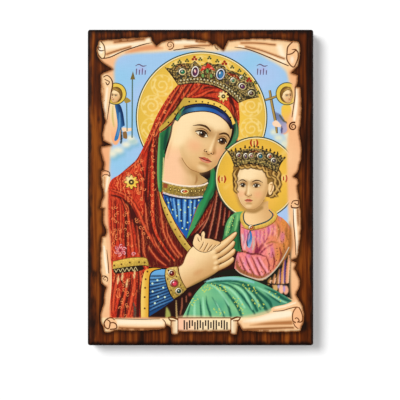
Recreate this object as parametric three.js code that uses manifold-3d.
// A sacred picture printed on torn papyrus and glued to a stained wooden board, made to hang on a wall.
// Millimetres. +Z is up and the picture faces -Y. The origin is the centre of the board's back face.

import * as THREE from "three";
import { mergeVertices } from "three/addons/utils/BufferGeometryUtils.js";
import Module from "manifold-3d";

// The board
const BOARD_WIDTH = 200;
const BOARD_HEIGHT = 280;
const BOARD_THICKNESS = 20;
const CORNER_RADIUS = 2;
const FRONT_ROUND_WIDTH = 3.6;
const FRONT_ROUND_DEPTH = 2.6;
const BACK_EASE = 1;

// The keyhole slot in the back: the screw's head goes in at the entry, and its shank slides up the slot.
const ENTRY_DIAMETER = 9.6;
const SLOT_WIDTH = 5.4;
const SLOT_RISE = 14;
const SLOT_DEPTH = 9;
const LIP_THICKNESS = 4.5;
const ENTRY_BELOW_TOP = 44;

// The sheet. Its line is this far inside the board's sides, and its tongues and tears leave that line.
const SHEET_THICKNESS = 0.6;
const SHEET_MARGIN = 12;
const DECKLE = 0.22;
const OUTLINE_STEP = 2.4;

// How finely the round parts are faceted
const ROUND_STEPS = 6;
const CORNER_STEPS = 4;
const CIRCLE_STEPS = 12;
const SHARPEST_RADIUS = 0.3;

// The torn edge, side by side. A tongue runs between two shares of its side, from the top or the left end.
// start and end are how far it reaches beyond the sheet's line there, and swell is what its middle adds.
// A tongue with a point is followed by a tear, whose tip is at that share and that reach.
const TOP_TONGUES = [
  { from: 0.058, to: 0.282, start: 2.4, end: 5.5, swell: 0 },
  { from: 0.286, to: 0.288, start: 2.2, end: 1.6, swell: 0, point: [0.3045, -2.4] },
  { from: 0.329, to: 0.533, start: 1.4, end: 1.5, swell: 2.3 },
  { from: 0.552, to: 0.566, start: -1.5, end: -0.7, swell: 0.2, point: [0.601, -6.2] },
  { from: 0.622, to: 0.925, start: 2.1, end: 1.3, swell: 2.2 },
];
const RIGHT_TONGUES = [
  { from: 0.058, to: 0.116, start: 0.1, end: -1.8, swell: 0.8, point: [0.1375, -7.4] },
  { from: 0.1455, to: 0.181, start: -1.6, end: -3, swell: 0.3 },
  { from: 0.183, to: 0.327, start: 0.4, end: -0.6, swell: 1.5 },
  { from: 0.329, to: 0.4535, start: -0.6, end: -2.3, swell: 3, point: [0.4655, -5.7] },
  { from: 0.4725, to: 0.4965, start: -2, end: -2.6, swell: 1 },
  { from: 0.499, to: 0.723, start: -2.3, end: -2.3, swell: 3.4, point: [0.7305, -7.4] },
  { from: 0.7375, to: 0.757, start: -3.3, end: -5, swell: 0.6 },
  { from: 0.76, to: 0.838, start: -4.4, end: -3.3, swell: 4 },
  { from: 0.841, to: 0.948, start: -2.9, end: 1.1, swell: 4.6 },
];
const BOTTOM_TONGUES = [
  { from: 0.083, to: 0.12, start: 0.6, end: -1.6, swell: 0.8 },
  { from: 0.124, to: 0.342, start: -1.8, end: -3.1, swell: 1.2, point: [0.35, -6.1] },
  { from: 0.366, to: 0.3685, start: -4.3, end: -3.6, swell: 0 },
  { from: 0.3705, to: 0.4, start: 1.9, end: 2.1, swell: 0.5 },
  { from: 0.405, to: 0.6285, start: -0.4, end: -0.8, swell: 0.2 },
  { from: 0.6325, to: 0.661, start: 1.8, end: 2.2, swell: 0.5, point: [0.669, -6.8] },
  { from: 0.686, to: 0.93, start: -1.5, end: -0.4, swell: 0.9 },
];
const LEFT_TONGUES = [
  { from: 0.048, to: 0.103, start: 3.2, end: 0.2, swell: 2.1, point: [0.126, -9.6] },
  { from: 0.1375, to: 0.145, start: -1.8, end: 0.6, swell: 0 },
  { from: 0.152, to: 0.291, start: 0.6, end: -3.8, swell: 1.3 },
  { from: 0.295, to: 0.352, start: -3.7, end: -1.5, swell: 1.2, point: [0.3655, -8.5] },
  { from: 0.3705, to: 0.413, start: 0.2, end: -1.8, swell: 1 },
  { from: 0.418, to: 0.4445, start: -2.2, end: -2.4, swell: 0 },
  { from: 0.4485, to: 0.523, start: 0.2, end: -2.4, swell: 0.7 },
  { from: 0.526, to: 0.565, start: -2.2, end: 1, swell: 0.3 },
  { from: 0.567, to: 0.613, start: -2.4, end: -1.6, swell: 0.3 },
  { from: 0.616, to: 0.652, start: -2, end: -3.8, swell: -1.4 },
  { from: 0.656, to: 0.803, start: -0.5, end: 0, swell: 1.2, point: [0.816, -4.5] },
  { from: 0.829, to: 0.866, start: -2.8, end: -2.5, swell: 0 },
  { from: 0.869, to: 0.948, start: -2.3, end: -2.2, swell: 3.1 },
];

const WOOD = new THREE.MeshStandardMaterial({ color: 0x5a2a10, roughness: 0.45, metalness: 0 });
const PAPYRUS = new THREE.MeshStandardMaterial({ color: 0xe8c896, roughness: 0.5, metalness: 0 });

const wasm = await Module();
wasm.setup();

// Both pieces are drawn with x to the right, y up and z towards the viewer, z = 0 being the back face.

// Points of a rectangle with rounded corners, anticlockwise, all at one height above the back.
function roundedRing(width, height, radius, level) {
  const points = [];
  for (let corner = 0; corner < 4; corner += 1) {
    const sideX = corner === 0 || corner === 3 ? 1 : -1;
    const sideY = corner < 2 ? 1 : -1;
    const middleX = sideX * (width / 2 - radius);
    const middleY = sideY * (height / 2 - radius);
    for (let step = 0; step <= CORNER_STEPS; step += 1) {
      const angle = ((corner + step / CORNER_STEPS) * Math.PI) / 2;
      points.push([middleX + radius * Math.cos(angle), middleY + radius * Math.sin(angle), level]);
    }
  }
  return points;
}

// A solid through rings of equally many points, closed by a fan at each end.
function loft(rings) {
  const count = rings[0].length;
  const positions = rings.flat(2);
  const index = [];
  for (let ring = 0; ring + 1 < rings.length; ring += 1) {
    for (let i = 0; i < count; i += 1) {
      const a = ring * count + i;
      const b = ring * count + ((i + 1) % count);
      index.push(a, b, b + count, a, b + count, a + count);
    }
  }
  const last = rings.length - 1;
  const backMiddle = rings.length * count;
  positions.push(0, 0, rings[0][0][2], 0, 0, rings[last][0][2]);
  for (let i = 0; i < count; i += 1) {
    const next = (i + 1) % count;
    index.push(backMiddle, next, i);
    index.push(backMiddle + 1, last * count + i, last * count + next);
  }
  const geometry = new THREE.BufferGeometry();
  geometry.setAttribute("position", new THREE.Float32BufferAttribute(positions, 3));
  geometry.setIndex(index);
  return geometry;
}

// Insets and levels of the board's rings, from the eased back edge to the quarter round at the front.
function boardSection() {
  const section = [];
  for (let step = 0; step <= ROUND_STEPS; step += 1) {
    const angle = ((1 - step / ROUND_STEPS) * Math.PI) / 2;
    section.push([BACK_EASE * (1 - Math.cos(angle)), BACK_EASE * (1 - Math.sin(angle))]);
  }
  for (let step = 0; step <= ROUND_STEPS; step += 1) {
    const angle = ((step / ROUND_STEPS) * Math.PI) / 2;
    const level = BOARD_THICKNESS - FRONT_ROUND_DEPTH * (1 - Math.sin(angle));
    section.push([FRONT_ROUND_WIDTH * (1 - Math.cos(angle)), level]);
  }
  return section;
}

function plainBoard() {
  const rings = boardSection().map(([inset, level]) => {
    const radius = Math.max(CORNER_RADIUS - inset, SHARPEST_RADIUS);
    return roundedRing(BOARD_WIDTH - 2 * inset, BOARD_HEIGHT - 2 * inset, radius, level);
  });
  return loft(rings);
}

// A slot with round ends that rises from the entry, extruded between two levels.
function slotCutter(width, rise, low, high) {
  const entry = BOARD_HEIGHT / 2 - ENTRY_BELOW_TOP;
  const shape = new THREE.Shape();
  shape.absarc(0, entry + rise, width / 2, 0, Math.PI, false);
  shape.absarc(0, entry, width / 2, Math.PI, 2 * Math.PI, false);
  const options = { depth: high - low, bevelEnabled: false, curveSegments: CIRCLE_STEPS };
  return new THREE.ExtrudeGeometry(shape, options).translate(0, 0, low);
}

function toSolid(geometry) {
  const bare = geometry.clone();
  bare.deleteAttribute("normal");
  bare.deleteAttribute("uv");
  const merged = mergeVertices(bare);
  const vertProperties = new Float32Array(merged.attributes.position.array);
  const triVerts = new Uint32Array(merged.index.array);
  return new wasm.Manifold(new wasm.Mesh({ numProp: 3, vertProperties, triVerts }));
}

function toGeometry(solid) {
  const mesh = solid.getMesh();
  const geometry = new THREE.BufferGeometry();
  geometry.setAttribute("position", new THREE.BufferAttribute(mesh.vertProperties, mesh.numProp));
  geometry.setIndex(new THREE.BufferAttribute(mesh.triVerts, 1));
  geometry.computeVertexNormals();
  return geometry;
}

function board() {
  const past = LIP_THICKNESS / 2;
  const entry = slotCutter(ENTRY_DIAMETER, 0, -past, SLOT_DEPTH);
  const throat = slotCutter(SLOT_WIDTH, SLOT_RISE, -past, LIP_THICKNESS + past);
  const undercut = slotCutter(ENTRY_DIAMETER, SLOT_RISE, LIP_THICKNESS, SLOT_DEPTH);
  const keyhole = toSolid(entry).add(toSolid(throat)).add(toSolid(undercut));
  return toGeometry(toSolid(plainBoard()).subtract(keyhole));
}

// The ragged fibres along a tear: two waves of unlike length, by the distance along the side.
function deckle(along) {
  return DECKLE * (Math.sin(along * 0.83) + 0.7 * Math.sin(along * 2.07 + 1.3));
}

// One side's points as [distance along the side, distance from the board's edge].
function tornSide(tongues, length) {
  const points = [];
  for (const tongue of tongues) {
    const span = (tongue.to - tongue.from) * length;
    const steps = Math.max(1, Math.round(span / OUTLINE_STEP));
    for (let step = 0; step <= steps; step += 1) {
      const share = step / steps;
      const along = tongue.from * length + span * share;
      const line = tongue.start + (tongue.end - tongue.start) * share;
      const reach = line + tongue.swell * Math.sin(Math.PI * share);
      points.push([along, SHEET_MARGIN - reach - deckle(along)]);
    }
    if (tongue.point) {
      points.push([tongue.point[0] * length, SHEET_MARGIN - tongue.point[1]]);
    }
  }
  return points;
}

// The sheet's outline, clockwise from the top left, with a curve at each corner.
function sheetShape() {
  const left = -BOARD_WIDTH / 2;
  const top = BOARD_HEIGHT / 2;
  const sides = [
    tornSide(TOP_TONGUES, BOARD_WIDTH).map(([a, m]) => [left + a, top - m]),
    tornSide(RIGHT_TONGUES, BOARD_HEIGHT).map(([a, m]) => [-left - m, top - a]),
    tornSide(BOTTOM_TONGUES, BOARD_WIDTH).map(([a, m]) => [left + a, m - top]).reverse(),
    tornSide(LEFT_TONGUES, BOARD_HEIGHT).map(([a, m]) => [left + m, top - a]).reverse(),
  ];
  const shape = new THREE.Shape();
  shape.moveTo(...sides[0][0]);
  sides.forEach((side, number) => {
    const upright = number % 2 === 1;
    const next = sides[(number + 1) % sides.length][0];
    const end = side[side.length - 1];
    side.slice(1).forEach((point) => shape.lineTo(...point));
    const bend = upright ? [end[0], next[1]] : [next[0], end[1]];
    shape.quadraticCurveTo(...bend, ...next);
  });
  return shape;
}

function sheet() {
  const options = { depth: SHEET_THICKNESS, bevelEnabled: false, curveSegments: CORNER_STEPS };
  return new THREE.ExtrudeGeometry(sheetShape(), options);
}

function named(name, geometry, material) {
  const mesh = new THREE.Mesh(geometry, material);
  mesh.name = name;
  return mesh;
}

const icon = new THREE.Group();
icon.rotation.x = Math.PI / 2;
icon.add(named("wood_board", board(), WOOD));
const papyrus = named("papyrus_sheet", sheet(), PAPYRUS);
papyrus.position.z = BOARD_THICKNESS;
icon.add(papyrus);

export default icon;
